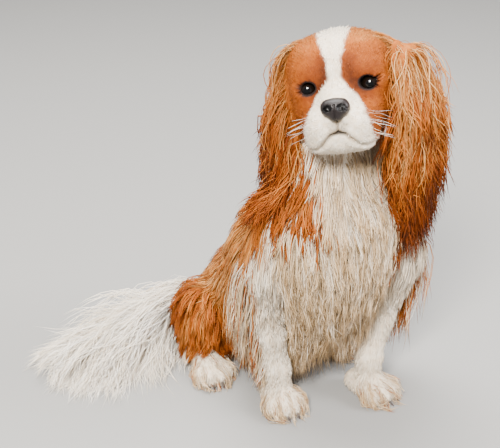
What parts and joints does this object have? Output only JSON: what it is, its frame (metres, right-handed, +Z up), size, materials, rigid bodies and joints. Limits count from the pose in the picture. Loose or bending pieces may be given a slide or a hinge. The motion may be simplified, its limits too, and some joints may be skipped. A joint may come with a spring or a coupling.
{
  "type": "cavalier king charles spaniel",
  "caption": "Seated Cavalier King Charles spaniel, chestnut and white, long hanging ears, plumed tail laid on the floor, life size.",
  "frame": {"origin": "middle of the footprint of the whole dog, on the plane it sits on", "axes": "the body faces -Y, +X is the dog's left, +Z is up; the head is turned to the dog's right"},
  "size_m": [0.39, 0.3322, 0.4135],
  "materials": {
    "chestnut_coat": "long silky chestnut hair, lighter where it is sunlit and darker at the ends of the ears",
    "white_coat": "long silky white to cream hair",
    "head_coat": "short smooth hair, chestnut with a white blaze and muzzle",
    "nose_leather": "finely pebbled black leather, a little moist",
    "eye": "wet, very dark brown"
  },
  "bodies": {
    "root": {"eye_right": "eye", "eye_left": "eye", "nose": "nose_leather", "head": "head_coat", "ear_right": "chestnut_coat", "ear_left": "chestnut_coat", "neck": "white_coat", "paw_fore_right": "white_coat", "paw_fore_left": "white_coat", "paw_hind_right": "white_coat", "paw_hind_left": "white_coat", "foreleg_right": "white_coat", "foreleg_left": "white_coat", "hindleg_right": "chestnut_coat", "hindleg_left": "chestnut_coat", "chest": "white_coat", "torso": "chestnut_coat", "tail": "white_coat"}
  },
  "joints": []
}
